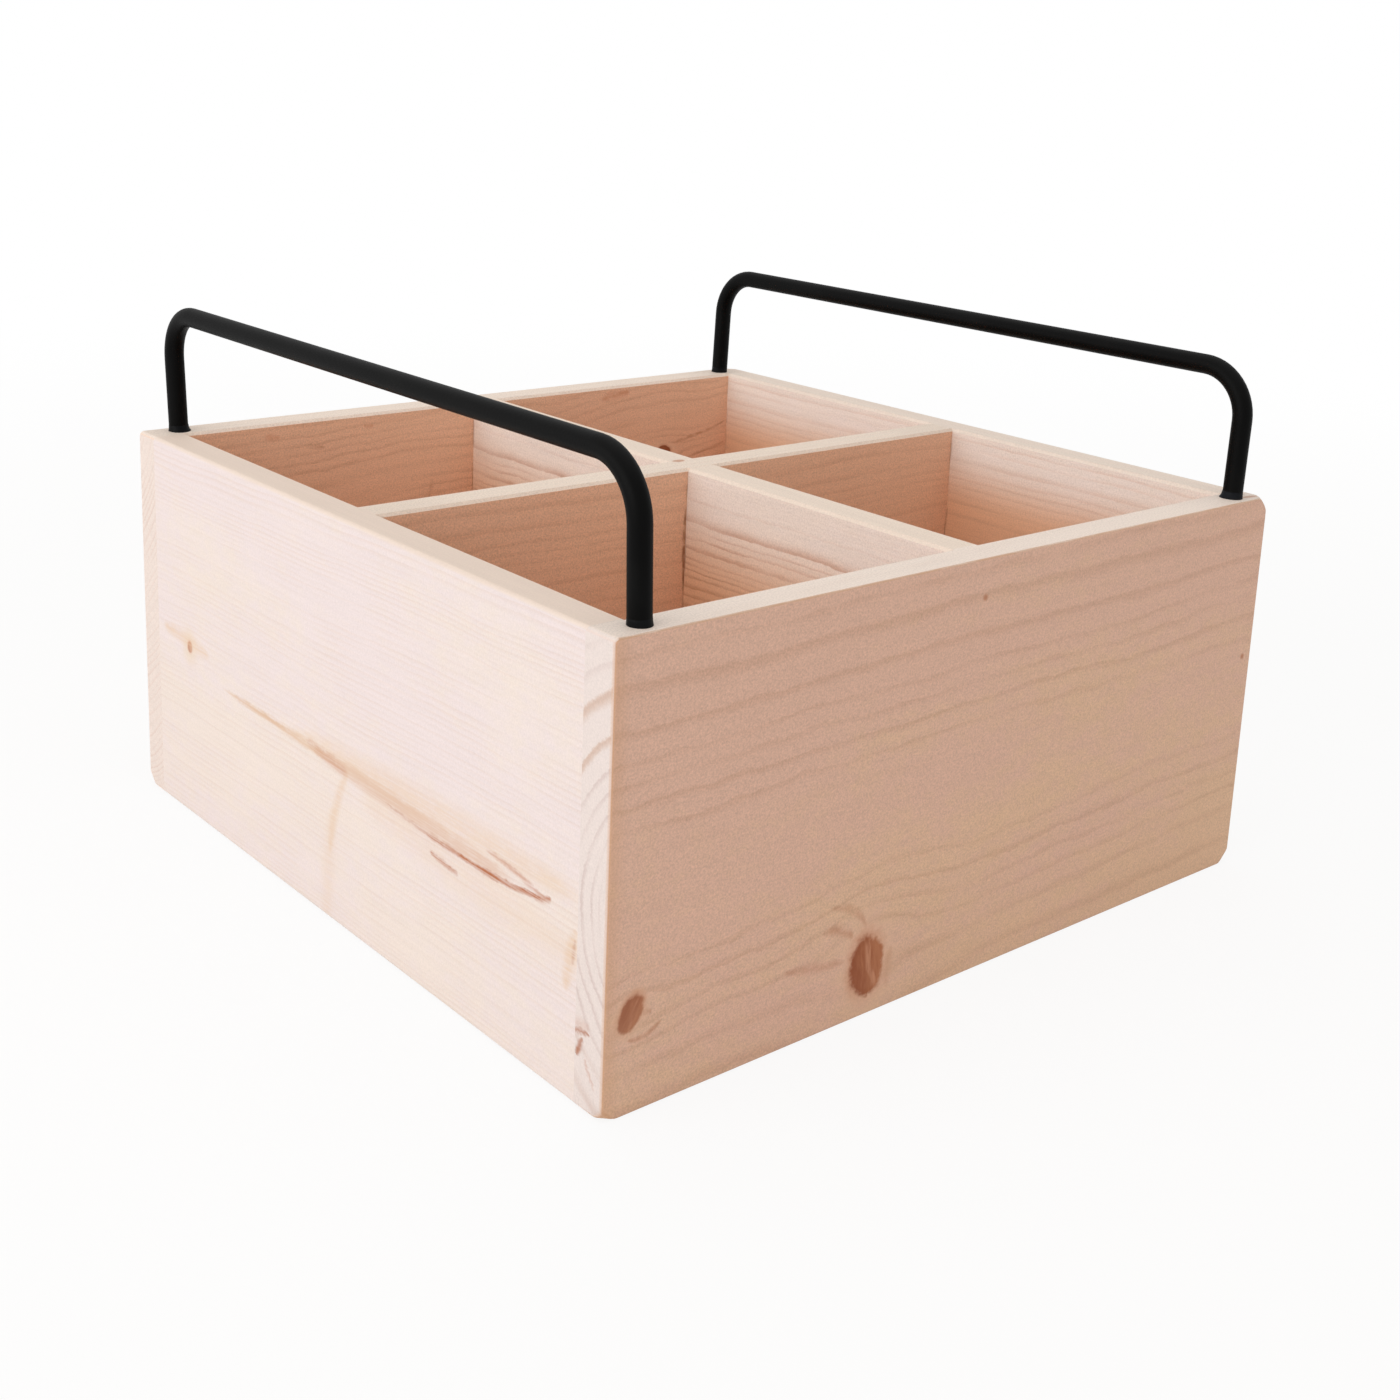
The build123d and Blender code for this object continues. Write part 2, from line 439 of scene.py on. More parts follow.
class Board:
    """Where a point lies in a board, and which of the board's surfaces it is on."""

    def __init__(self, finish, along, inward, outer, seed):
        axes = {"+x": finish.x, "-x": 0 - finish.x, "+y": finish.y, "-y": 0 - finish.y}
        along_x = along[1] == "x"
        self.finish = finish
        self.seed = seed
        self.is_divider = outer == HALF_DIVIDER
        self.along = finish.x if along_x else finish.y
        self.u = HALF_SPAN + axes[along]
        self.v = WALL_TOP - finish.z
        self.t = outer + axes[inward]
        self.endward = abs(finish.facing[0 if along_x else 1])
        self.end_grain = finish.ramp(self.endward, *END_GRAIN)
        self.rim = finish.ramp(finish.facing[2], *RIM)

    def noise(self, cells, shifted, detail=2.0, roughness=0.5):
        return grain_noise(
            self.finish, (self.u, self.v, self.t), cells, self.seed, shifted, detail, roughness,
        )


print("boards are up to", 2 * HALF_SPAN, "mm long,", WALL_TOP, "mm high and", round(BOARD, 2), "mm thick")

# %% [markdown]
# ## Counting years
# A tree adds a ring each year, pale in spring and dark in late summer. Where the rings of a board show
# clearly, their radii are listed, and a curve turns a radius into years. Where they are fine and many, an
# even spacing that drifts a little looks right and needs no list.

# %% Years of a tree
CURVE_YEARS = 24.0
DRIFT_CELLS = 0.06


def count_years(finish, radius, tree, seed):
    """Age of the tree at a radius, from its ring radii or from an even spacing that drifts."""
    if "radii" not in tree:
        drift = finish.noise(radius * DRIFT_CELLS, seed, 0.0, detail=1.0)
        return radius / tree["spacing"] + drift * tree["drift"]
    first, last = tree["radii"][0], tree["radii"][-1]
    node = finish.nodes.new("ShaderNodeFloatCurve")
    finish.feed(node.inputs["Value"], (radius - first) / (last - first))
    curve = node.mapping.curves[0]
    for number, ring in enumerate(tree["radii"][1:-1], start=1):
        curve.points.new((ring - first) / (last - first), number / CURVE_YEARS)
    curve.points[0].location = (0.0, 0.0)
    curve.points[-1].location = (1.0, (len(tree["radii"]) - 1) / CURVE_YEARS)
    for point in curve.points:
        point.handle_type = "VECTOR"
    node.mapping.update()
    return Amount(finish, node.outputs[0]) * CURVE_YEARS


print("a curve holds up to", CURVE_YEARS, "years")

# %% [markdown]
# ## Growth rings
# A board is a slice out of a log. The log's middle, the pith, is a line beside the board, given by its v
# and t at both ends. Rings are circles round that line, so the same sum draws long lines on the faces,
# arcs on the end grain and stripes on the rim, and they meet at the edges as they do in wood. Flat-sawn
# boards have the pith in front of the face, quarter-sawn ones beside it. Where a ring only grazes the
# face it spreads wide and pale, so lines fade there, but not on the sawn ends. A few years may be bold.

# %% Growth rings
SWAY = {"cells": (0.012, 0.022), "shifted": ALONG}
QUIVER = {"cells": (0.07, 0.12), "shifted": DOWN}
FRAY = {"cells": (0.30, 0.90), "shifted": DOWN}
CALM_ENDS = 0.7
PATCH_CELLS = (0.035, 0.05)
PATCH_SHARE = 0.80
STRENGTH = (-0.4, 1.3, 0.08, 1.0)
GRAZING = (0.25, 0.60, 0.12, 1.0)
NO_BOLD = (0.0, 0.0)
BOLD_EDGE = 1.5
BOLD_FADE = (60.0, 100.0, 1.0, 0.35)
BOLD_SHARE = 0.9


def growth_rings(board, v, tree):
    """Share of dark late wood where the grain lies at v, and the share of bold ring in it."""
    finish, u, t, seed = board.finish, board.u, board.t, board.seed
    share = u / (2 * HALF_SPAN)
    (left_v, left_t), (right_v, right_t) = tree["pith"]
    from_pith_v = v - (left_v + share * (right_v - left_v))
    from_pith_t = t - (left_t + share * (right_t - left_t))
    from_pith = finish.reach(from_pith_v, from_pith_t)
    sway = grain_noise(finish, (u, v, t), shift=seed, **SWAY)
    quiver = grain_noise(finish, (u, v, t), shift=seed, **QUIVER) * (1 - board.end_grain * CALM_ENDS)
    fray = grain_noise(finish, (u, v, t), shift=seed, **FRAY)
    radius = from_pith + sway * tree["sway"] + quiver * tree["quiver"] + fray * tree["fray"]
    years = count_years(finish, radius, tree, seed)
    part = finish.math("FRACT", years)
    late_from, late_peak = tree["late"]
    late = finish.ramp(part, late_from, late_peak) * finish.ramp(part, 1.0, late_peak)
    vigour = finish.chance(finish.math("FLOOR", years) + seed)
    patches = face_noise(finish, u, v, PATCH_CELLS, layer=seed, detail=2.0)
    strength = finish.ramp(vigour + patches * PATCH_SHARE, *STRENGTH)
    steep = finish.ramp(abs(from_pith_v) / from_pith, *GRAZING)
    strength = strength * finish.math("MAXIMUM", steep, board.end_grain)
    first_bold, last_bold = tree.get("bold", NO_BOLD)
    bold = finish.ramp(radius, first_bold - BOLD_EDGE, first_bold)
    bold = bold * finish.ramp(radius, last_bold + BOLD_EDGE, last_bold) * finish.ramp(v, *BOLD_FADE)
    return late * finish.math("MAXIMUM", strength, bold * BOLD_SHARE), bold


print("growth rings run round a pith line and sway over about", round(1 / SWAY["cells"][0]), "mm")

# %% [markdown]
# ## Knots
# A knot is the foot of a branch that the trunk grew round. The grain lines part before it and close
# behind it, which is done by bending v before the rings are counted. The knot itself is an oval of brown,
# streaky wood with an uneven outline, a darker lip on one side, a pale slash where it dried and a blush of
# twisted grain round it. A photograph of a knot would look real as well, but it can't be turned, stretched
# or deepened as freely.

# %% Grain and outline of a knot
WOBBLE_CELLS = (0.22, 0.22)
JAG_CELLS = (0.8, 0.8)
JAG_LAYER = 3.0
STREAK_CELLS = (0.9, 0.16)
WOBBLE_SHARE = 0.13
JAG_SHARE = 0.06
STREAK_SHARE = 0.02


def part_grain(finish, u, v, knots):
    """The place v, bent so that grain lines pass round the knots."""
    bent = v
    for knot in knots:
        (middle_u, middle_v), (half_u, half_v) = knot["at"], knot["half"]
        off_u = (u - middle_u) / (half_u * knot["pull_u"])
        off_v = (v - middle_v) / (half_v * knot["pull_v"])
        near = finish.math("EXPONENT", 0 - (off_u * off_u + off_v * off_v))
        bent = bent - (v - middle_v) * near * knot["pull"]
    return bent


def knot_place(finish, u, v, knot, seed):
    """Place across and down a leaning knot, its uneven distance from the middle, and its streaks."""
    (middle_u, middle_v), (half_u, half_v) = knot["at"], knot["half"]
    lean = math.radians(knot["lean"])
    off_u = u - middle_u
    off_v = v - middle_v
    across = (off_u * math.cos(lean) + off_v * math.sin(lean)) / half_u
    down = (off_v * math.cos(lean) - off_u * math.sin(lean)) / half_v
    wobble = face_noise(finish, u, v, WOBBLE_CELLS, shift=seed)
    streak_cells = (half_u * STREAK_CELLS[0], half_v * STREAK_CELLS[1])
    streak = face_noise(finish, across, down, streak_cells, shift=seed, roughness=0.6)
    jagged = face_noise(finish, u, v, JAG_CELLS, layer=JAG_LAYER, shift=seed, detail=2.0)
    distance = finish.reach(across, down) + wobble * WOBBLE_SHARE + jagged * JAG_SHARE
    return across, down, distance + streak * STREAK_SHARE, streak


print("a knot's outline wobbles by", WOBBLE_SHARE, "of its half width")

# %% [markdown]
# ## Colours of a knot
# Seen close, a knot has four tones: a dark brown, a lighter one, the pale wood of the slash, and the
# blush round it. They are laid over the board from the outside in, as a painter would glaze them. All
# ranges are shares of the knot's half width, so small and large knots come from one recipe.

# %% Colours of a knot
KNOT_DARK = srgb(151, 84, 52)
KNOT_LIGHT = srgb(183, 119, 83)
KNOT_PALE = srgb(216, 160, 128)
KNOT_BLUSH = srgb(208, 150, 120)
HALO_END = 1.05
HALO_SHARE = 0.45
BLUSH_BAND = (1.55, 0.95)
BLUSH_SIDE = (1.2, -0.8, 0.4, 1.0)
BLUSH_SHARE = 0.65
KNOT_EDGE = (1.14, 0.86)
CORE_ACROSS = 0.8
CORE_STREAK = 0.6
CORE_RANGE = (-1.0, 1.0)
SLASH_MIDDLE = 0.08
SLASH_BEND = (0.0, 0.6, 0.0, 0.30)
SLASH_STREAK = 0.06
SLASH_WIDTH = (0.24, 0.06)
SLASH_LENGTH = (0.95, 0.60)
SLASH_PATCHES = (-0.9, 0.7, 0.25, 1.0)
LIP_BAND = (0.68, 0.92)
LIP_SIDE = (0.5, -0.6)
LIP_SHARE = 0.5


def knot_core(finish, knot, across, down, distance, streak):
    """Streaky brown of a knot, split by a pale slash and darker on its left."""
    brown = finish.ramp(across * CORE_ACROSS + streak * CORE_STREAK + knot["tone"], *CORE_RANGE)
    core = finish.blend(KNOT_DARK, KNOT_LIGHT, brown)
    slash_off = abs(across - SLASH_MIDDLE - finish.ramp(down, *SLASH_BEND) - streak * SLASH_STREAK)
    slash = finish.ramp(slash_off, *SLASH_WIDTH) * finish.ramp(abs(down), *SLASH_LENGTH)
    core = finish.blend(core, KNOT_PALE, slash * finish.ramp(streak, *SLASH_PATCHES) * knot["slash"])
    lip = finish.ramp(distance, *LIP_BAND) * finish.ramp(across, *LIP_SIDE)
    return finish.blend(core, KNOT_DARK, lip * LIP_SHARE)


def draw_knot(finish, colour, u, v, knot, seed):
    """The colour with the halo, the blush and the oval of a knot laid over it."""
    across, down, distance, streak = knot_place(finish, u, v, knot, seed)
    halo = finish.ramp(distance, knot["halo"], HALO_END)
    colour = finish.blend(colour, knot["halo_tone"], halo * HALO_SHARE)
    blush = finish.ramp(distance, *BLUSH_BAND) * finish.ramp(across + down, *BLUSH_SIDE)
    colour = finish.blend(colour, KNOT_BLUSH, blush * BLUSH_SHARE)
    core = knot_core(finish, knot, across, down, distance, streak)
    return finish.blend(colour, core, finish.ramp(distance, *KNOT_EDGE) * knot["depth"])


print("a knot fades out between", KNOT_EDGE[1], "and", KNOT_EDGE[0], "of its half width")

# %% [markdown]
# ## Curls, resin and stains
# Curls of grain, resin pockets and stains are pen strokes that swell and taper between two points. A
# painted picture could hold them, but strokes in millimetres stay sharp and can be moved. Each is a row:
# its tone, its share, where it starts and ends, its width, how far it sags in the middle and how hard its
# edge is.

# %% Strokes
STROKE_SWELL = 0.5
STROKE_TAPER = 0.35
THINNEST_HALF = 0.01


def stroke(finish, u, v, start, end, width, sag=0.0, edge=0.0):
    """Share of a soft pen stroke between two points, widest in the middle and sagging there by sag."""
    run_u = end[0] - start[0]
    run_v = end[1] - start[1]
    length = math.hypot(run_u, run_v)
    along = ((u - start[0]) * run_u + (v - start[1]) * run_v) / length ** 2
    aside = ((v - start[1]) * run_u - (u - start[0]) * run_v) / length
    arch = finish.math("MAXIMUM", along * (1 - along) * 4.0, 0.0)
    half = finish.math("POWER", arch, STROKE_SWELL) * (width / 2) + THINNEST_HALF
    body = finish.ramp(abs(aside - arch * sag), half, half * edge)
    return body * finish.ramp(arch, 0.0, STROKE_TAPER)


def draw_strokes(finish, colour, u, v, strokes, broken):
    """The colour with strokes laid over it, each of them broken up by the share broken."""
    for tone, share, start, end, width, *bend in strokes:
        mark = stroke(finish, u, v, start, end, width, *bend)
        colour = finish.blend(colour, tone, mark * broken * share)
    return colour


print("strokes taper over the outer", STROKE_TAPER, "of their arch")

# %% [markdown]
# ## Tones of planed pine
# Bare planed pine is pale, with straw and rose patches that drift into each other. Inside the box a face
# can have a paler tone near the rim, which is painted light where the window reaches, and a deeper, warmer
# tone lower down or over the whole inner face, which is painted shade. The sawn ends and the rim have
# tones of their own, and over all of them the late wood is drawn as lines. A board's tones are one list of
# colours and shares, so boards differ only in what is listed.

# %% Tones of pine
CLOUDS = {"cells": (0.010, 0.030), "shifted": ALONG, "detail": 3.0}
MOTTLE = {"cells": (0.13, 0.22), "shifted": DOWN, "detail": 3.0, "roughness": 0.6}
MOTTLE_SHARE = 0.6
HUE_RANGE = (-0.9, 0.9)
EVEN = (0.0, 0.0)
SKIN = 3.0
PAINTED_SHADE_SHARE = 0.85
RIM_LINE_LOSS = 0.6


def ground_tone(board, tones, clouds):
    """Straw and rose patches, with the painted light and painted shade of the inner faces where the list
    has them.
    """
    finish, u, v = board.finish, board.u, board.v
    rosy_v, rosier_up = tones.get("rosy_up", EVEN)
    rosy_u, rosier_left = tones.get("rosy_left", EVEN)
    rosier = (rosy_v - v) * rosier_up - (u - rosy_u) * rosier_left
    hue = finish.ramp(clouds + board.noise(**MOTTLE) * MOTTLE_SHARE + rosier, *HUE_RANGE)
    body = finish.blend(tones["straw"], tones["rose"], hue)
    inside = 1.0 if board.is_divider else finish.ramp(board.t, SKIN, BOARD - SKIN)
    # A paler tone on the inner face, over the straw and rose: painted light where the window reaches.
    if "inner_painted_light" in tones:
        body = finish.blend(body, finish.blend(*tones["inner_painted_light"], hue), inside)
    # A deeper, warmer tone lower down or over the whole inner face: painted shade.
    if "deep" in tones:
        deep, deep_from, deep_to = tones["deep"]
        body = finish.blend(body, deep, finish.ramp(v, deep_from, deep_to) * inside * PAINTED_SHADE_SHARE)
    return body


def draw_rings(board, body, end_tone, tones, late, bold):
    """The colour with the tones of the ends and the rim, and with the late wood drawn as lines."""
    finish, end_grain = board.finish, board.end_grain
    body = finish.blend(body, end_tone, end_grain)
    body = finish.blend(body, tones["rim"], board.rim)
    end_line = finish.blend(tones["end_line"], tones["end_bold"], bold)
    line = finish.blend(tones["line"], end_line, end_grain)
    line_share = tones["line_share"] + end_grain * (tones["end_line_share"] - tones["line_share"])
    return finish.blend(body, line, late * line_share * (1 - board.rim * RIM_LINE_LOSS))


print("tones of inner faces start", SKIN, "mm under the outer one")

# %% [markdown]
# ## Worn edges and glue, with painted highlight and shade
# Broken edges have their own tone from hands and sandpaper, and their pale tones also stand in for the
# light that a rounded edge catches, a painted highlight. A rounded edge faces none of the three main ways,
# which is how it is found. Where two boards meet inside the box a patchy dark line darkens the corner:
# dried glue and painted shade. A texture that measures how near other pieces are could find it, but the
# corners are at known places.

# %% Worn edges and glue
EDGE_TURN = (0.985, 0.85)
WEAR_AND_HIGHLIGHT_PATCHES = (-1.2, 0.6, 0.35, 1.0)
TOWARD_END = (0.55, 0.90)
RIM_PULL = 0.5
GLUE_AND_SHADE = srgb(150, 96, 66)
GLUE_AND_SHADE_WIDTH = (0.75, 0.15)
GLUE_AND_SHADE_SKIN = (0.6, 0.2)
GLUE_AND_SHADE_CELLS = (0.09, 0.2)
GLUE_AND_SHADE_PATCHES = (-0.3, 0.8, 0.0, 0.9)
GLUE_AND_SHADE_SHARE = 0.6


def wear_and_highlight_edges(board, body, end_tone, tones, uneven):
    """The colour with worn edges, whose pale tones are also a painted highlight, in the end's tone where
    an edge turns towards the end.
    """
    finish = board.finish
    flatness = finish.math("MAXIMUM", abs(finish.facing[0]), abs(finish.facing[1]))
    flatness = finish.math("MAXIMUM", flatness, abs(finish.facing[2]))
    worn_and_highlit = finish.ramp(flatness, *EDGE_TURN) * finish.ramp(uneven, *WEAR_AND_HIGHLIGHT_PATCHES)
    toward_end = finish.ramp(board.endward + board.rim * RIM_PULL, *TOWARD_END)
    # Pale edge tones: sanding wear, and a painted highlight along the edges.
    edge_wear_and_highlight_tone = finish.blend(tones["edge"], end_tone, toward_end)
    return finish.blend(body, edge_wear_and_highlight_tone, worn_and_highlit * tones["wear_and_highlight"])


def glue_and_shade_in_corners(board, body):
    """The colour with a patchy dark line where other boards meet this one's inner face: glue and painted
    shade.
    """
    finish = board.finish
    from_middle = abs(board.along)
    to_wall = abs(from_middle - (HALF_SPAN - BOARD))
    to_divider = abs(from_middle - HALF_DIVIDER)
    line = finish.ramp(finish.math("MINIMUM", to_wall, to_divider), *GLUE_AND_SHADE_WIDTH)
    if not board.is_divider:
        line = line * finish.ramp(board.t, BOARD - GLUE_AND_SHADE_SKIN[0], BOARD - GLUE_AND_SHADE_SKIN[1])
    patches = face_noise(finish, board.v, board.along, GLUE_AND_SHADE_CELLS, shift=board.seed)
    patchy = finish.ramp(patches, *GLUE_AND_SHADE_PATCHES)
    # The dark line in the corner: glue and painted shade.
    return finish.blend(body, GLUE_AND_SHADE, line * patchy * (1 - board.rim) * GLUE_AND_SHADE_SHARE)


# The dark corner lines are glue and painted shade.
print("glue lines are", 2 * GLUE_AND_SHADE_WIDTH[0], "mm wide")

# %% [markdown]
# ## Planed pine
# The recipe for a board lays each step over the one before: rings, tones with their painted light and
# shade, tiny resin dashes, streaks and fibres, knots, marks, wear with its painted highlight, and glue
# with its painted shade. Sanding leaves a short fuzz that the eye reads as fine speckle. The late wood is
# harder, so it stands up a little and shines a little more.

# %% Pine finish
STREAKS = {"cells": (0.022, 0.55), "shifted": DOWN, "detail": 3.0}
FIBRES = {"cells": (0.14, 2.6), "shifted": INWARD, "detail": 3.0, "roughness": 0.6}
FUZZ = {"cells": (1.85, 1.85), "shifted": ALONG, "roughness": 0.7}
DASHES = {"cells": (0.22, 3.4), "shifted": ALONG, "detail": 1.0}
DASH_RANGE = (1.05, 1.5)
DASH_SHARE = 0.22
DASH_TONE = srgb(176, 122, 90)
END_FUZZ_LOSS = 0.6
PINE_ROUGHNESS = 0.62
WOOD_SPECULAR = 0.25
MIDDLE_HEIGHT = 0.5


def pine(name, layout, tree, tones, seed, knots=(), marks=None):
    """A planed pine board with its own tree, tones, knots and marks."""
    finish = Finish(name)
    board = Board(finish, *layout, seed)
    u, v, t, end_grain = board.u, board.v, board.t, board.end_grain
    late, bold = growth_rings(board, part_grain(finish, u, v, knots), tree)
    if "line_fade" in tones:
        late = late * finish.ramp(v, *tones["line_fade"])
    clouds = board.noise(**CLOUDS)
    streaks = board.noise(**STREAKS)
    fibres = board.noise(**FIBRES)
    fuzz = grain_noise(finish, (finish.x, finish.y, finish.z), shift=seed, **FUZZ)
    dashes = finish.ramp(board.noise(**DASHES), *DASH_RANGE)
    # The end tone runs from one end of the board to the other; where the ends differ, the paler end on the
    # window side is painted light.
    end_tone = finish.blend(*tones["ends"], finish.ramp(u, 0.0, 2 * HALF_SPAN))

    body = ground_tone(board, tones, clouds)
    body = draw_rings(board, body, end_tone, tones, late, bold)
    body = finish.blend(body, DASH_TONE, dashes * (1 - end_grain) * DASH_SHARE)
    speckle = fuzz * tones["fuzz"] * (1 - end_grain * END_FUZZ_LOSS)
    body = finish.shade(body, 1.0 + (streaks * tones["streak"] + fibres * tones["fibre"] + speckle))
    for number, knot in enumerate(knots):
        body = draw_knot(finish, body, u, v, knot, seed + number)
    if marks:
        body = marks(finish, body, u, v, t)
    body = wear_and_highlight_edges(board, body, end_tone, tones, fibres + clouds)
    body = glue_and_shade_in_corners(board, body)

    rough = PINE_ROUGHNESS - late * 0.10 + fibres * 0.03 + end_grain * 0.12
    finish.surface(body, rough, WOOD_SPECULAR)
    height = MIDDLE_HEIGHT + late * 0.12 + fibres * 0.12 + fuzz * 0.06 - dashes * 0.2
    finish.emboss(height, depth=0.06, strength=0.8)
    return finish.material


def dress(node, material):
    """Give a CAD piece its finish."""
    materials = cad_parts[node].data.materials
    materials.clear()
    materials.append(material)
    print(node, "has the finish", material.name, "of", len(material.node_tree.nodes), "nodes")


print("fuzz has", FUZZ["cells"][0], "cells a millimetre, fibres", FIBRES["cells"][1], "across the grain")

# %% [markdown]
# ## Front board: tree and tones
# The front is a flat-sawn board: its pith lay about 28 mm in front of the face, halfway up, so the rings
# show as thin lines far apart, and their ends make nested arcs on the left corner. The ring radii come
# from where the lines cross the left edge. In the list of tones, rosy_up and rosy_left hold a level and
# how much rosier the face gets for each millimetre above or left of it.

# %% Front tree and tones
WARM_END = srgb(228, 204, 182)
front_tree = {
    "pith": ((66.0, -28.0), (60.0, -30.0)),
    "radii": (18.0, 28.6, 31.3, 34.4, 38.2, 42.1, 46.0, 52.3, 61.6, 67.6, 73.4, 78.5, 84.0, 90.0),
    "bold": (50.6, 62.6),
    "sway": 1.5, "quiver": 0.60, "fray": 0.32, "late": (0.52, 0.86),
}
front_tones = {
    # Straw and rose deeper than on the left board: partly the board's own tone, partly painted shade on
    # this face.
    "straw": srgb(227, 191, 161),
    "rose": srgb(226, 187, 167),
    "rosy_up": (90.0, 0.010),
    "rosy_left": (125.0, 0.003),
    # The left end, on the window side, is paler and cooler than the right end: painted light.
    "ends": (srgb(223, 212, 208), WARM_END),
    "rim": srgb(237, 224, 214),
    "edge": srgb(205, 158, 122),
    "wear_and_highlight": 0.75,
    "line": srgb(184, 136, 105),
    "end_line": srgb(199, 180, 176),
    "end_bold": srgb(190, 152, 127),
    "line_share": 0.28,
    "end_line_share": 0.62,
    "streak": 0.020,
    "fibre": 0.022,
    "fuzz": 0.17,
}
print("front board has", len(front_tree["radii"]) - 1, "years")

# %% [markdown]
# ## Front board: knots and marks
# Two knots sit near the lower edge, the larger with dark curls of grain beside it. The side of a knot cuts
# the left end, two pin spots dot the face, and a smudge lies by the right foot of a handle. All of them
# are placed with a ruler on the flat face.

# %% Front knots and marks
CURL = srgb(186, 124, 92)
KNOT_RUST = srgb(168, 106, 74)
EDGE_GLOW = srgb(218, 171, 134)
EDGE_GLOW_WIDTH = 6.0
EDGE_GLOW_SHARE = 0.40
FRONT_HALO = srgb(232, 194, 166)
FRONT_SKIN = (1.2, 0.4)
LEFT_END_SKIN = (1.6, 0.6)
THIN_SKIN = (1.0, 0.3)
PIN_SPOTS = ((122.5, 10.8), (245.5, 50.3))
PIN_SPOT_SIZE = (1.4, 0.3)
PIN_SPOT_SHARE = 0.8
FRONT_CURLS = (
    (CURL, 0.54, (69.4, 91.6), (81.2, 96.2), 5.0, -1.6),
    (CURL, 0.42, (72.0, 85.4), (85.8, 94.2), 4.2, -2.2),
    (CURL, 0.42, (56.0, 98.4), (79.0, 102.0), 4.6, 0.4),
    (CURL, 0.28, (95.5, 102.0), (94.6, 115.0), 4.6, 0.4),
    (CURL, 0.55, (6.6, 100.2), (17.6, 97.6), 2.8, 1.6),
    (CURL, 0.55, (11.4, 94.2), (14.2, 94.6), 2.8),
)
LEFT_END_MARKS = (
    (CURL, 0.28, (12.4, 98.0), (5.2, 97.0), 5.0),
    (KNOT_RUST, 0.75, (11.6, 99.8), (5.0, 98.8), 2.6),
    (KNOT_RUST, 0.90, (8.2, 100.8), (10.4, 106.4), 3.2),
    (CURL, 0.40, (7.3, 105.6), (3.0, 112.6), 2.2),
)
FOOT_SMUDGE = ((CURL, 0.7, (241.6, 3.6), (248.0, 2.6), 3.0),)
large_knot = {
    "at": (86.7, 105.8), "half": (6.0, 8.8), "lean": -6.0, "halo": 2.4, "halo_tone": FRONT_HALO,
    "tone": 0.0, "slash": 0.54, "pull": 0.8, "pull_u": 3.4, "pull_v": 2.1, "depth": 1.0,
}
small_knot = {
    "at": (7.8, 93.6), "half": (3.3, 4.7), "lean": 28.0, "halo": 1.9, "halo_tone": FRONT_HALO,
    "tone": -0.25, "slash": 0.15, "pull": 0.6, "pull_u": 3.0, "pull_v": 1.8, "depth": 0.84,
}


def front_marks(finish, colour, u, v, t):
    """Warm left edge, curls, pin spots, a knot's side on the left end and a smudge by the right foot."""
    face = finish.ramp(t, *FRONT_SKIN)
    warm = finish.ramp(u, EDGE_GLOW_WIDTH, 0.0) * face
    colour = finish.blend(colour, EDGE_GLOW, warm * EDGE_GLOW_SHARE)
    ragged = face_noise(finish, u, v, cells=(0.30, 0.30), layer=2.0)
    broken = finish.ramp(ragged, -1.1, 0.5, 0.35, 1.0)
    nicks = face_noise(finish, t, v, cells=(0.8, 0.8), layer=6.0, detail=2.0)
    colour = draw_strokes(finish, colour, u, v + ragged * 0.30, FRONT_CURLS, broken * face)
    for spot_u, spot_v in PIN_SPOTS:
        distance = finish.reach(u - spot_u, v - spot_v)
        spot = finish.ramp(distance, *PIN_SPOT_SIZE)
        colour = finish.blend(colour, CURL, spot * face * PIN_SPOT_SHARE)
    left_end = broken * finish.ramp(u, *LEFT_END_SKIN)
    colour = draw_strokes(finish, colour, t + nicks * 0.5, v + nicks * 0.6, LEFT_END_MARKS, left_end)
    return draw_strokes(finish, colour, u, t, FOOT_SMUDGE, finish.ramp(v, *THIN_SKIN))


front_pine = pine(
    "front_pine", ("+x", "+y", HALF_SPAN), front_tree, front_tones, seed=3.0,
    knots=(large_knot, small_knot), marks=front_marks,
)
dress("front_board", front_pine)

# %% [markdown]
# ## Left side board: tree and tones
# The left wall is quarter-sawn, so the rings meet its face square on and show as fine straight lines,
# about two millimetres apart. It is the palest board, so its straw, rose and lines are close together. Its
# pale tone is partly its own and partly painted light from the window, and its inner face has a warm tone
# that is painted shade.

# %% Left tree and tones
left_tree = {
    "pith": ((270.0, 9.0), (265.0, 2.0)), "spacing": 1.8, "drift": 1.1,
    "sway": 1.1, "quiver": 0.18, "fray": 0.08, "late": (0.30, 0.94),
}
left_tones = {
    # Pale straw and rose: partly the board's own tone, partly painted light from the window.
    "straw": srgb(229, 217, 209),
    "rose": srgb(227, 215, 215),
    "rosy_up": (70.0, 0.006),
    # Warm tone over the whole inner face: painted shade.
    "deep": (srgb(238, 206, 182), -2.0, -1.0),
    "ends": (WARM_END, WARM_END),
    "rim": srgb(235, 218, 205),
    "edge": srgb(228, 215, 205),
    "wear_and_highlight": 0.35,
    "line": srgb(212, 187, 172),
    "end_line": srgb(214, 186, 170),
    "end_bold": srgb(214, 186, 170),
    "line_share": 0.28,
    "end_line_share": 0.60,
    "streak": 0.021,
    "fibre": 0.014,
    "fuzz": 0.06,
}
print("left board has a ring every", left_tree["spacing"], "mm")

# %% [markdown]
# ## Left side board: resin and stains
# The left wall has a long resin pocket, which is a spindle of tan wood with a red-brown lower lip, a pin
# knot near the back corner and a few faint stains. They lie in the outer skin only, so the inner face
# stays clean.

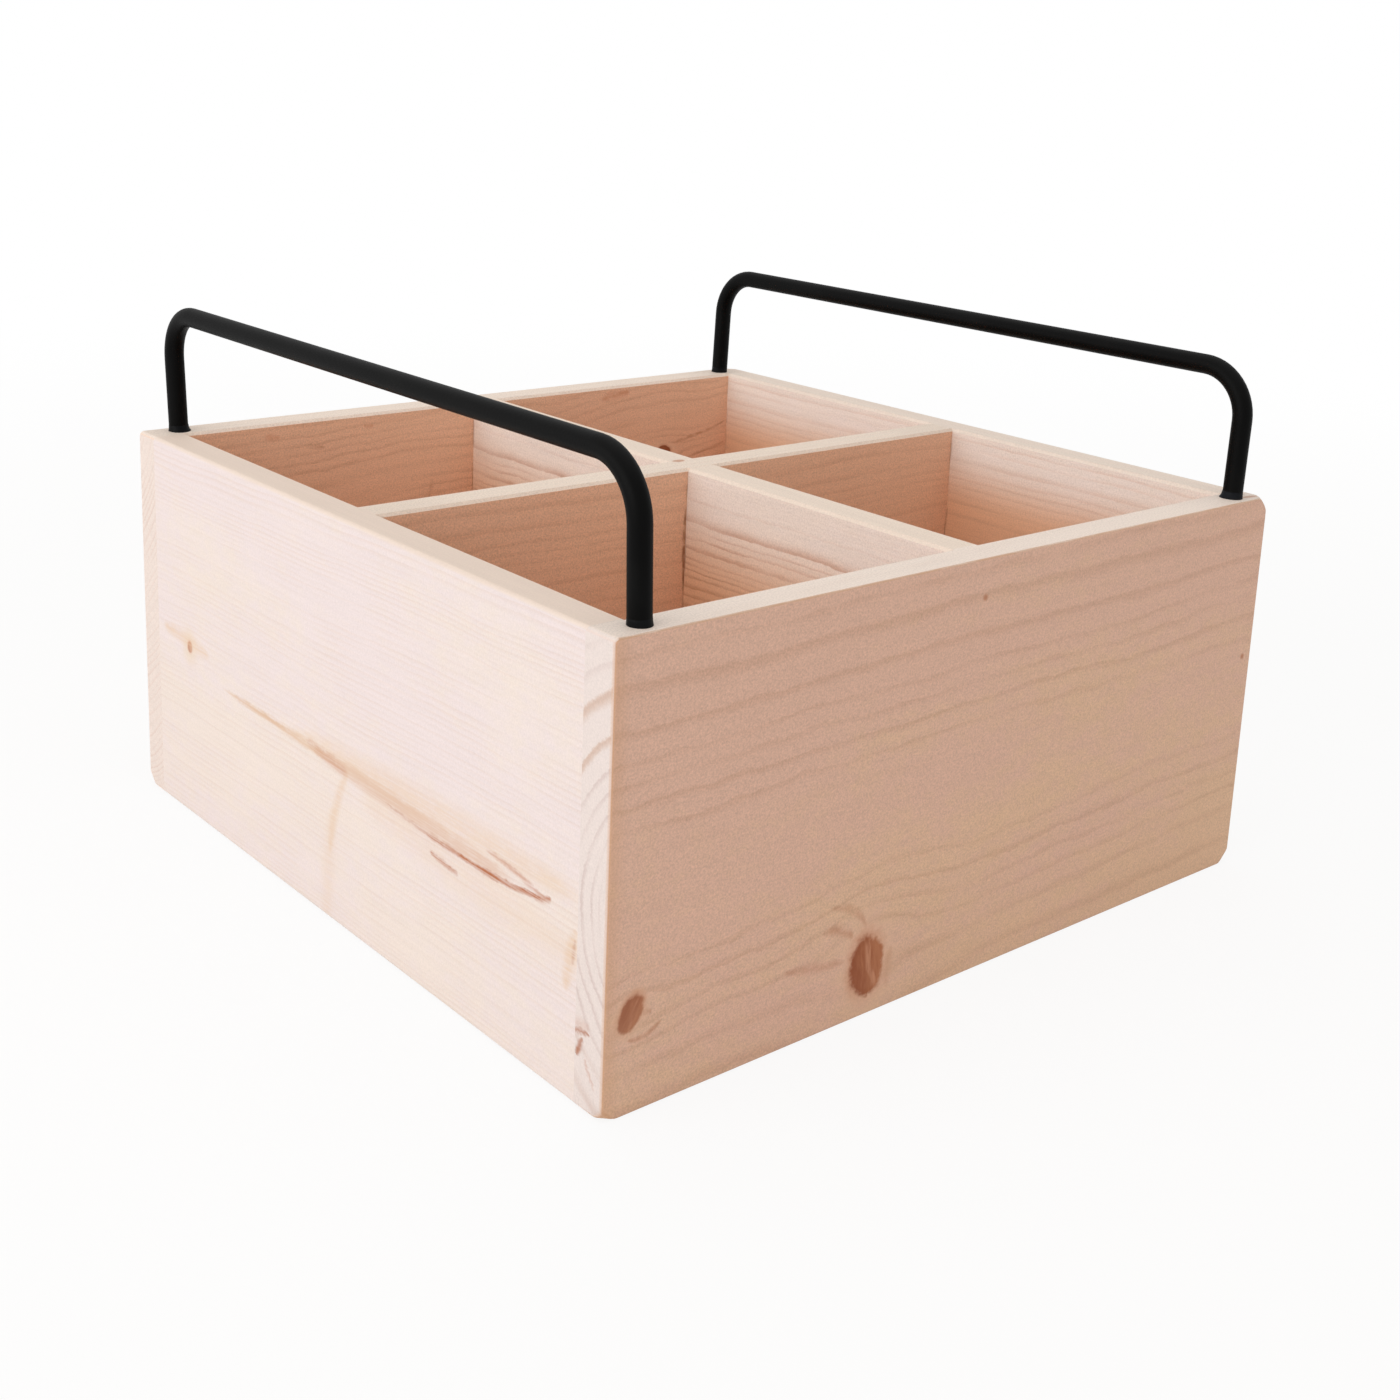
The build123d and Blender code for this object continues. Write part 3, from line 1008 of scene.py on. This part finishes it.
# %% Left marks
RESIN_TAN = srgb(211, 177, 146)
RESIN_PINK = srgb(214, 186, 170)
RESIN_RED = srgb(175, 105, 66)
STAIN = srgb(220, 191, 162)
LEFT_SKIN = (2.5, 1.2)
LEFT_STROKES = (
    (RESIN_TAN, 0.85, (54.0, 69.8), (176.0, 71.2), 4.4, 0.2),
    (RESIN_PINK, 0.95, (112.0, 70.4), (214.0, 72.4), 8.4, 0.4, 0.3),
    (STAIN, 0.48, (96.0, 69.5), (244.0, 66.0), 15.0, -0.6),
    (STAIN, 0.28, (136.0, 76.0), (249.0, 82.0), 20.0, 0.4),
    (CURL, 0.42, (108.0, 69.4), (133.0, 72.2), 6.0, 0.2),
    (RESIN_RED, 0.50, (150.0, 72.9), (226.0, 71.8), 2.0, 2.2),
    (RESIN_RED, 0.60, (172.0, 74.3), (192.0, 74.6), 3.2, 0.2),
    (RESIN_RED, 1.00, (186.0, 74.7), (227.0, 71.7), 2.7, 1.1, 0.1),
    (RESIN_RED, 0.80, (220.5, 73.2), (228.5, 70.9), 3.2),
    (CURL, 0.60, (200.0, 68.4), (226.0, 71.8), 2.8, -0.6),
    (RESIN_RED, 0.75, (174.0, 78.7), (188.5, 80.1), 2.8, 0.3),
    (STAIN, 0.56, (132.5, 70.5), (121.5, 100.0), 6.4, 1.8),
    (STAIN, 0.30, (123.5, 84.0), (119.0, 124.0), 12.0, 0.4),
    (STAIN, 0.70, (238.5, 74.0), (234.5, 92.0), 7.0, 0.3),
    (RESIN_RED, 0.40, (238.2, 77.0), (237.2, 84.0), 2.4),
    (STAIN, 0.60, (14.0, 60.6), (48.0, 62.8), 7.5, -0.4),
)
pin_knot = {
    "at": (33.5, 63.0), "half": (1.5, 1.8), "lean": 0.0, "halo": 5.0, "halo_tone": srgb(223, 202, 174),
    "tone": 0.3, "slash": 0.0, "pull": 0.6, "pull_u": 5.0, "pull_v": 2.4, "depth": 0.6,
}


def left_marks(finish, colour, u, v, t):
    """Resin pocket with its red-brown lip, short streak, faint arc and smudges in the outer skin."""
    ragged = face_noise(finish, u, v, cells=(0.22, 0.6), roughness=0.6)
    nicks = face_noise(finish, u, v, cells=(0.8, 1.1), layer=9.0, detail=2.0)
    threads = face_noise(finish, u, v, cells=(0.04, 1.5), layer=4.0)
    broken = finish.ramp(threads + ragged * 0.5, -1.0, 0.6, 0.35, 1.0) * finish.ramp(t, *LEFT_SKIN)
    return draw_strokes(finish, colour, u, v + ragged * 0.40 + nicks * 0.20, LEFT_STROKES, broken)


left_pine = pine(
    "left_pine", ("-y", "+x", HALF_SPAN), left_tree, left_tones, seed=11.0,
    knots=(pin_knot,), marks=left_marks,
)
dress("left_side_board", left_pine)

# %% [markdown]
# ## Back board
# The back board's end shows fine slanting rings on the left corner, so it was cut between flat-sawn and
# quarter-sawn, from a tree that swayed: its lines swirl, and a dark knot pulls some of them in. A few red
# smears and dark lines lie on its inner face, the only face of it that the picture shows.

# %% Back board
# These orange straw and rose tones, and the warm tone over the inner face, are painted shade: the warm
# shade between the walls of the box.
shaded_wall_tones = {
    "straw": srgb(234, 198, 167),
    "rose": srgb(237, 199, 179),
    "deep": (srgb(243, 198, 168), -2.0, -1.0),
    # The end on the box's left, the window side, is paler and cooler than the other: painted light.
    "ends": (WARM_END, srgb(226, 213, 206)),
    "rim": srgb(236, 222, 210),
    "edge": srgb(238, 222, 208),
    "wear_and_highlight": 0.35,
    "line": srgb(204, 152, 120),
    "end_line": srgb(212, 186, 174),
    "end_bold": srgb(212, 186, 174),
    "line_share": 0.38,
    "end_line_share": 0.50,
    "streak": 0.030,
    "fibre": 0.036,
    "fuzz": 0.21,
}
back_tree = {
    "pith": ((-58.0, -92.0), (-50.0, -88.0)), "spacing": 2.2, "drift": 1.3,
    "sway": 2.4, "quiver": 0.3, "fray": 0.20, "late": (0.45, 0.90),
}
WALL_HALO = srgb(240, 208, 182)
SMEAR = srgb(214, 146, 110)
INNER_SKIN = (BOARD - 2.0, BOARD - 1.0)
BACK_STROKES = (
    (CURL, 0.60, (40.0, 25.0), (11.0, 18.6), 2.4, -0.8),
    (CURL, 0.45, (30.0, 31.0), (11.0, 27.0), 2.2, -0.4),
    (SMEAR, 0.60, (74.0, 4.6), (60.0, 3.0), 6.0, 0.4),
    (CURL, 0.30, (147.6, 25.6), (149.4, 33.0), 3.0, 0.4),
    (SMEAR, 0.50, (171.0, 4.6), (175.0, 4.0), 3.4),
    (CURL, 0.50, (189.6, 10.0), (195.8, 9.4), 2.0),
    (SMEAR, 0.45, (206.0, 5.0), (212.0, 4.4), 4.0),
)
back_knot = {
    "at": (42.5, 27.4), "half": (3.2, 1.9), "lean": -14.0, "halo": 2.6, "halo_tone": WALL_HALO,
    "tone": -0.7, "slash": 0.1, "pull": 0.7, "pull_u": 3.4, "pull_v": 3.4, "depth": 0.95,
}


def back_marks(finish, colour, u, v, t):
    """Dark lines and a red smear near the knot, and short marks further along, on the inner face."""
    ragged = face_noise(finish, u, v, cells=(0.25, 0.5), layer=7.0)
    broken = finish.ramp(ragged, -0.9, 0.6, 0.2, 1.0) * finish.ramp(t, *INNER_SKIN)
    return draw_strokes(finish, colour, u, v + ragged * 0.4, BACK_STROKES, broken)


back_pine = pine(
    "back_pine", ("-x", "-y", HALF_SPAN), back_tree, shaded_wall_tones, seed=23.0,
    knots=(back_knot,), marks=back_marks,
)
dress("back_board", back_pine)

# %% [markdown]
# ## Right side board
# The right wall is paler than the back, with wider, fainter lines. Its inner face is painted pale near the
# rim, a painted light where the window reaches, and turns deeper below, a painted shade. It starts from
# the back board's tones and lists only what differs, but it has its own tree and seed, because two boards
# from one plank still differ.

# %% Right side board
right_tones = {
    **shaded_wall_tones,
    "straw": srgb(234, 207, 182),
    "rose": srgb(236, 209, 190),
    # Pale inner tone: painted light near the rim. Deep tone from 6 to 28 mm down: painted shade.
    "inner_painted_light": (srgb(245, 234, 225), srgb(245, 235, 229)),
    "deep": (srgb(244, 194, 154), 6.0, 28.0),
    "line": srgb(208, 164, 136),
    "line_share": 0.26,
    "streak": 0.034,
    "fuzz": 0.14,
}
right_tree = {
    "pith": ((-90.0, -50.0), (-86.0, -56.0)), "spacing": 2.8, "drift": 1.6,
    "sway": 1.0, "quiver": 0.2, "fray": 0.15, "late": (0.45, 0.90),
}
right_knot = {
    "at": (168.0, 78.0), "half": (4.0, 5.2), "lean": 10.0, "halo": 2.2, "halo_tone": WALL_HALO,
    "tone": 0.0, "slash": 0.6, "pull": 0.65, "pull_u": 3.4, "pull_v": 2.0, "depth": 0.9,
}
right_pine = pine(
    "right_pine", ("+y", "-x", HALF_SPAN), right_tree, right_tones, seed=31.0, knots=(right_knot,),
)
dress("right_side_board", right_pine)

# %% [markdown]
# ## Long divider
# The two dividers are halved into each other. The long one, from front to back, has straight brown lines
# on its left face. Its faces take the right wall's pale inner tone, a painted light near the rim, and a
# deep tone further down, a painted shade. Its lines fade near the rim, by their depth under it.

# %% Long divider
DIVIDER_RIM = srgb(234, 219, 205)
long_tones = {
    **right_tones,
    "rim": DIVIDER_RIM,
    # Deep tone from 8 to 38 mm down: painted shade.
    "deep": (srgb(246, 199, 160), 8.0, 38.0),
    "line": srgb(186, 126, 88),
    "line_share": 0.55,
    "line_fade": (7.0, 16.0, 0.10, 1.0),
}
long_tree = {
    "pith": ((-70.0, -40.0), (-72.0, -36.0)), "spacing": 2.5, "drift": 2.4,
    "sway": 1.2, "quiver": 0.35, "fray": 0.25, "late": (0.45, 0.90),
}
long_pine = pine("long_divider_pine", ("-y", "+x", HALF_DIVIDER), long_tree, long_tones, seed=41.0)
dress("long_divider", long_pine)

# %% [markdown]
# ## Cross divider
# The cross divider is plainer. A small brown knot breaks the rim at the crossing, and a dark line runs
# down the near corner: dried glue and painted shade. The knot is too small for the knot recipe, so it is
# one uneven oval on the rim.

# %% Cross divider
# The cross divider takes the back board's tones, with their painted shade.
cross_tones = {**shaded_wall_tones, "line_share": 0.28, "rim": DIVIDER_RIM}
cross_tree = {
    "pith": ((-40.0, -70.0), (-46.0, -64.0)), "spacing": 2.6, "drift": 1.0,
    "sway": 1.2, "quiver": 0.2, "fray": 0.15, "late": (0.5, 0.90),
}
CROSSING_KNOT = (-1.4, 4.2)
CROSSING_HALF = (2.4, 1.5)
CROSSING_EDGE = (1.15, 0.6)
CROSSING_DEPTH = (4.0, 2.0)
CROSSING_SHARE = 0.7
GLUE_AND_SHADE_DRIP_U = HALF_SPAN - HALF_DIVIDER - 0.4
# A dark line down the near corner: glue and painted shade.
GLUE_AND_SHADE_DRIP = ((GLUE_AND_SHADE, 0.85, (GLUE_AND_SHADE_DRIP_U, 12.0), (GLUE_AND_SHADE_DRIP_U, 40.0), 2.4),)


def crossing_marks(finish, colour, u, v, t):
    """The small knot that the planed rim cuts through at the crossing, and a dark line of glue and painted
    shade in the near corner.
    """
    ragged = face_noise(finish, finish.x, finish.y, cells=(0.7, 0.7), layer=finish.z * 0.3)
    off_x = (finish.x - CROSSING_KNOT[0]) / CROSSING_HALF[0]
    off_y = (finish.y - CROSSING_KNOT[1]) / CROSSING_HALF[1]
    distance = finish.reach(off_x, off_y) + ragged * 0.12
    share = finish.ramp(distance, *CROSSING_EDGE) * finish.ramp(v, *CROSSING_DEPTH)
    colour = finish.blend(colour, KNOT_LIGHT, share * CROSSING_SHARE)
    broken = finish.ramp(ragged, -0.8, 0.4, 0.2, 1.0) * finish.ramp(t, *THIN_SKIN)
    return draw_strokes(finish, colour, u + ragged * 0.2, v, GLUE_AND_SHADE_DRIP, broken)


cross_pine = pine(
    "cross_divider_pine", ("+x", "+y", HALF_DIVIDER), cross_tree, cross_tones, seed=53.0,
    marks=crossing_marks,
)
dress("cross_divider", cross_pine)

# %% [markdown]
# ## Plywood bottom
# The bottom is a thin panel in a groove. Its faces are rotary-cut veneer, peeled off the log like paper
# off a roll, so the rings spread into wide flames instead of lines. Stretched noise, cut into bands, gives
# them.

# %% Plywood panel
VENEER_PALE = srgb(232, 206, 172)
VENEER_TAN = srgb(224, 190, 156)
VENEER_LINE = srgb(202, 160, 122)
FLAME_BANDS = 4.5


def peeled_veneer():
    """Veneer with flames along x."""
    finish = Finish("peeled_veneer")
    place = (finish.x, finish.y, finish.z)
    bands = finish.math("FRACT", grain_noise(finish, place, cells=(0.0045, 0.020)) * FLAME_BANDS)
    late = finish.ramp(bands, 0.35, 0.95) * finish.ramp(bands, 1.0, 0.96)
    fibres = grain_noise(finish, place, cells=(0.10, 2.2), detail=3.0, roughness=0.6)
    clouds = face_noise(finish, finish.x, finish.y, cells=(0.012, 0.02), layer=5.0)
    colour = finish.blend(VENEER_PALE, VENEER_TAN, finish.ramp(clouds, -0.8, 0.8))
    colour = finish.blend(colour, VENEER_LINE, late * 0.45)
    colour = finish.shade(colour, 1.0 + fibres * 0.03)
    finish.surface(colour, 0.58 + fibres * 0.04, WOOD_SPECULAR)
    finish.emboss(MIDDLE_HEIGHT + late * 0.2 + fibres * 0.15, depth=0.05, strength=0.8)
    return finish.material


dress("bottom_panel", peeled_veneer())

# %% [markdown]
# ## Dowels
# Dowels are turned beech, hidden in their holes. Beech has short dark flecks instead of strong rings. They
# are dressed too, because whoever takes the box apart will see them.

# %% Beech dowels
BEECH_PALE = srgb(226, 188, 152)
BEECH_TAN = srgb(212, 168, 132)
BEECH_FLECK = srgb(172, 122, 88)
BEECH_SPECULAR = 0.5


def beech(name, along_x):
    """Flecked beech with its grain along x or along y."""
    finish = Finish(name)
    along, across = (finish.x, finish.y) if along_x else (finish.y, finish.x)
    place = (along, across, finish.z)
    flecks = finish.ramp(grain_noise(finish, place, cells=(0.5, 3.0), detail=1.0), 0.7, 1.3)
    tone = grain_noise(finish, place, cells=(0.05, 0.8), detail=3.0)
    colour = finish.blend(BEECH_PALE, BEECH_TAN, finish.ramp(tone, -0.8, 0.8))
    colour = finish.blend(colour, BEECH_FLECK, flecks * 0.5)
    finish.surface(colour, 0.55 + tone * 0.05, BEECH_SPECULAR)
    finish.emboss(MIDDLE_HEIGHT + tone * 0.2 - flecks * 0.3, depth=0.04)
    return finish.material


beech_along_y = beech("beech_along_y", along_x=False)
beech_along_x = beech("beech_along_x", along_x=True)
for end in ("front", "back"):
    for side in ("left", "right"):
        dress(f"{end}_{side}_corner_dowels", beech_along_y)
    dress(f"{end}_divider_dowels", beech_along_y)
for side in ("left", "right"):
    dress(f"{side}_divider_dowels", beech_along_x)

# %% [markdown]
# ## Black handles
# The rods have a matt black powder coat. Such a coat is never pure black: it has a soft sheen, a fine
# dimple like orange peel, and faint dusty patches where it is gripped. The dimples are bump, the sheen is
# roughness, and the colour stays very dark so that the pale wood keeps its contrast.

# %% Powder coat
COAT_SPECULAR = 0.06


def powder_coat(name, black, dusty, roughness):
    """A matt black coat with dimples, grit and dusty patches."""
    finish = Finish(name)
    place = (finish.x, finish.y, finish.z)
    peel = grain_noise(finish, place, cells=(1.3, 1.3))
    grit = grain_noise(finish, place, cells=(5.0, 5.0))
    gripped = finish.noise(finish.x * 0.05, finish.y * 0.035, finish.z * 0.05, detail=3.0)
    colour = finish.blend(black, dusty, finish.ramp(gripped + grit * 0.25, -0.2, 1.2))
    finish.surface(colour, roughness + gripped * 0.04 + grit * 0.03, COAT_SPECULAR)
    finish.emboss(MIDDLE_HEIGHT + peel * 0.25 + grit * 0.10, depth=0.05, strength=0.7)
    return finish.material


rod_black = powder_coat("rod_black", srgb(5, 5, 5), srgb(14, 14, 14), roughness=0.50)
for side in ("left", "right"):
    dress(f"{side}_handle", rod_black)

# %% [markdown]
# ## Where the legs stand
# Where a rod enters the rim, the glue that holds it has pushed up and left a small dark collar. To place
# it, the foot of each leg is measured on the CAD mesh: the flat end of the leg lies in its hole, and a
# line from its middle, square to it, meets the rim at the foot. Typing the place in would do, until the
# handles move.

# %% Feet of the handles
ROD_RADIUS = -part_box("left_handle")[0].y / MM - (HALF_SPAN - BOARD / 2)
FLAT_END_DEPTH = 0.2
SAME_WAY = 0.999


def leg_line(handle, end):
    """Foot of a handle's leg on the rim, and the way the leg points, both from the flat end of the leg."""
    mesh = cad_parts[handle].data
    faces = [face for face in mesh.polygons if (face.center.y < 0) == (end == "front")]
    lowest = min(faces, key=lambda face: face.center.z)
    level = [face for face in faces if face.normal.dot(lowest.normal) > SAME_WAY]
    flat_end = [face for face in level if face.center.z < lowest.center.z + FLAT_END_DEPTH * MM]
    ring = {number for face in flat_end for number in face.vertices}
    middle = sum((mesh.vertices[number].co for number in ring), Vector()) / len(ring)
    up = -lowest.normal
    return middle + up * ((WALL_TOP * MM - middle.z) / up.z), up


print("rod radius", round(ROD_RADIUS, 2), "mm")

# %% [markdown]
# ## Beads at the feet
# The collar of glue is too small for the CAD model, but the eye misses it when the rod just vanishes into
# the wood. A short profile is turned round the leg and spreads further to one side than to the other, by
# another amount at each foot, so no two beads look stamped. The profile closes on itself, so each bead is
# a solid ring.

# %% Foot beads
BEAD_STEPS = 48
BEAD_SINK = 0.15
BEAD_TIP = 2.3
BEAD_EVEN = 0.62
BEAD_LOPSIDED = 0.38
BEAD_RIPPLE = 0.12
BEAD_RIPPLES = 3
BEAD_PROFILE = ((1.0, -0.10), (0.95, 0.10), (0.62, 0.45), (0.32, 1.05), (0.14, 1.90))
BEAD_SPREADS = {
    ("left", "front"): (0.30, -40.0),
    ("left", "back"): (0.85, -40.0),
    ("right", "front"): (0.80, 140.0),
    ("right", "back"): (0.15, 90.0),
}


def bead_loops(mesh, foot, up, spread, toward):
    """Upright loops of points round a leg, spreading by spread and most of all toward one side."""
    sideways = Vector((0.0, 1.0, 0.0))
    outward = sideways.cross(up)
    loops = []
    for step in range(BEAD_STEPS):
        turn = 2 * math.pi * step / BEAD_STEPS
        spoke = outward * math.cos(turn) + sideways * math.sin(turn)
        lopsided = BEAD_LOPSIDED * math.cos(turn - toward)
        ripple = BEAD_RIPPLE * math.sin(BEAD_RIPPLES * turn + spread)
        swell = spread * (BEAD_EVEN + lopsided + ripple)
        points = [(share * swell, height) for share, height in BEAD_PROFILE]
        points = [(-BEAD_SINK, points[0][1]), *points, (-BEAD_SINK, BEAD_TIP)]
        places = [foot + (spoke * (ROD_RADIUS + beyond) + up * height) * MM for beyond, height in points]
        loops.append([mesh.verts.new(place) for place in places])
    return loops


def foot_bead(name, foot, up, spread, toward):
    """A closed ring of glue round a leg."""
    mesh = bmesh.new()
    loops = bead_loops(mesh, foot, up, spread, toward)
    for here, there in zip(loops, loops[1:] + loops[:1]):
        for number in range(len(here)):
            after = (number + 1) % len(here)
            mesh.faces.new((here[number], there[number], there[after], here[after]))
    bmesh.ops.recalc_face_normals(mesh, faces=mesh.faces)
    data = bpy.data.meshes.new(name)
    mesh.to_mesh(data)
    mesh.free()
    data.shade_smooth()
    bead = bpy.data.objects.new(name, data)
    bpy.context.scene.collection.objects.link(bead)
    return bead


bead_black = powder_coat("bead_black", srgb(12, 13, 15), srgb(34, 37, 42), roughness=0.45)
for (side, end), (spread, toward) in BEAD_SPREADS.items():
    foot, up = leg_line(f"{side}_handle", end)
    bead = foot_bead(f"{side}_handle_{end}_bead", foot, up, spread, math.radians(toward))
    bead.data.materials.append(bead_black)
    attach(bead, "root")
    print(bead.name, "stands at", [round(value / MM, 1) for value in foot])
